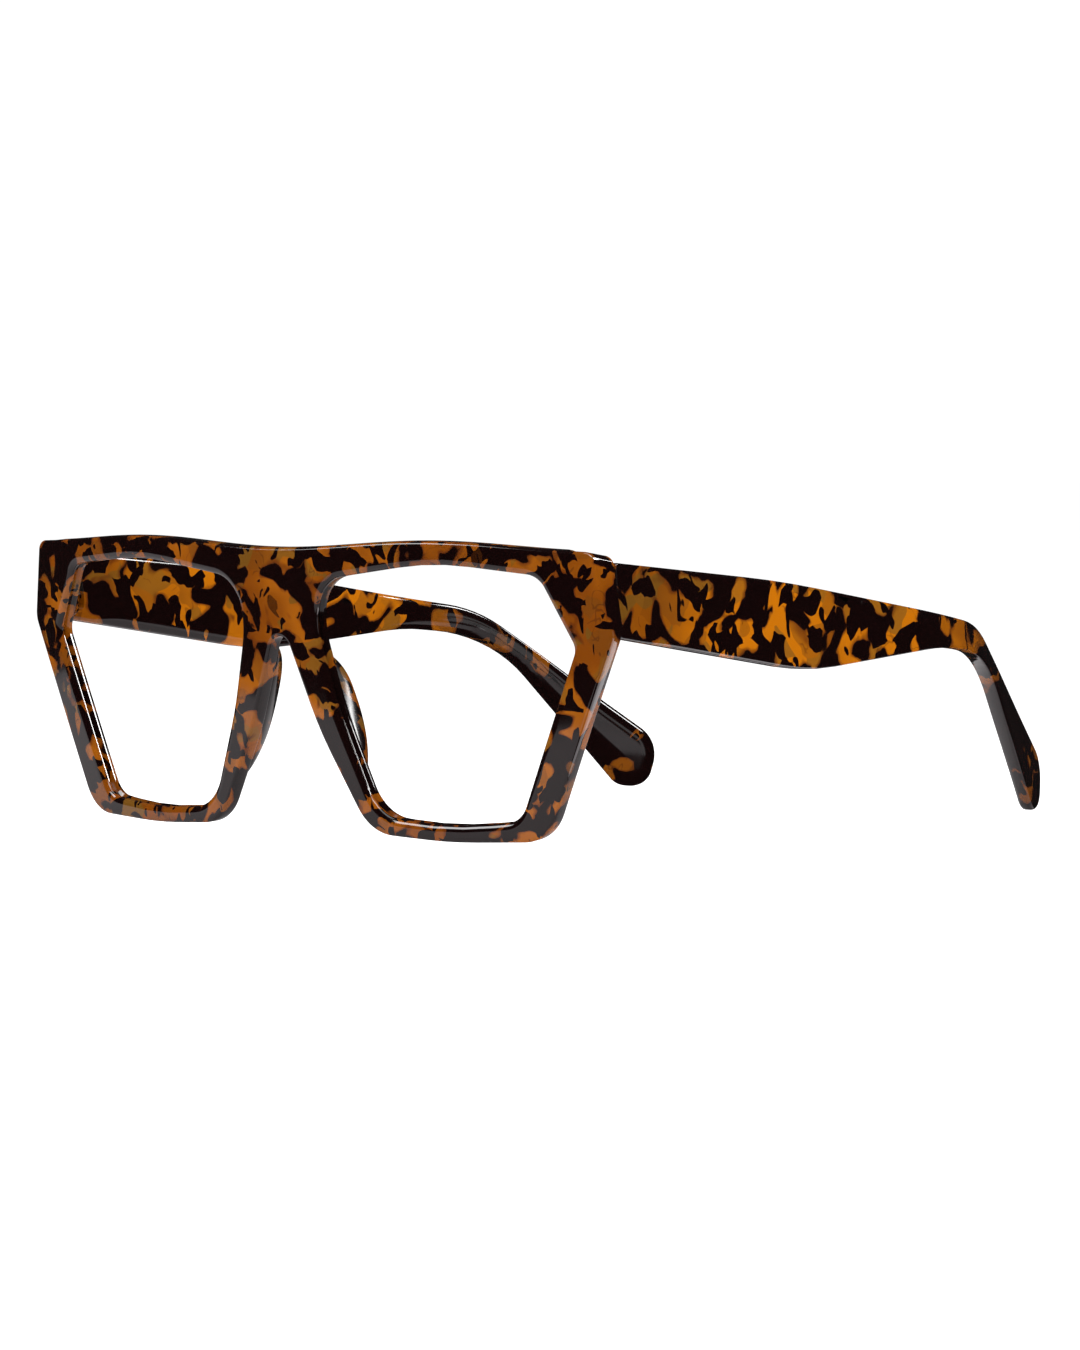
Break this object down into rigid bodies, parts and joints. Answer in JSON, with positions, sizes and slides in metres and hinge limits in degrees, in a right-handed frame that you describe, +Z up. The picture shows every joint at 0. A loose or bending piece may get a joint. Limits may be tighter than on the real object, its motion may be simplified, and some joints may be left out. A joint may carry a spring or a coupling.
{
  "type": "eyeglasses frame",
  "caption": "Flat-topped tortoiseshell acetate eyeglasses frame, empty of lenses, with folding temples.",
  "frame": {"origin": "centre of the footprint at table level, with the frame open and standing on its rim bottoms and temple tips", "axes": "+Z up, -Y the way the wearer looks, +X towards the wearer's left"},
  "size_m": [0.149, 0.1472, 0.0519],
  "materials": {
    "tortoiseshell_acetate": "polished, mottled amber and dark brown",
    "pad_acetate": "polished, mottled amber and dark brown",
    "hinge_steel": "fine grained"
  },
  "bodies": {
    "front": {"front_frame": "tortoiseshell_acetate", "nose_pad_left": "pad_acetate", "nose_pad_right": "pad_acetate", "front_hinge_left": "hinge_steel", "front_hinge_right": "hinge_steel", "hinge_screw_left": "hinge_steel", "hinge_screw_right": "hinge_steel"},
    "left_temple": {"temple_left": "tortoiseshell_acetate", "temple_hinge_left": "hinge_steel"},
    "right_temple": {"temple_right": "tortoiseshell_acetate", "temple_hinge_right": "hinge_steel"}
  },
  "joints": [
    {"name": "left_temple_fold", "type": "hinge", "parent": "front", "child": "left_temple", "pos_m": [0.069, -0.06171, 0.04216], "axis": [0, -0.0943, 0.9955], "range_deg": [0, 80]},
    {"name": "right_temple_fold", "type": "hinge", "parent": "front", "child": "right_temple", "pos_m": [-0.069, -0.06171, 0.04216], "axis": [0, 0.0943, -0.9955], "range_deg": [0, 69]}
  ]
}
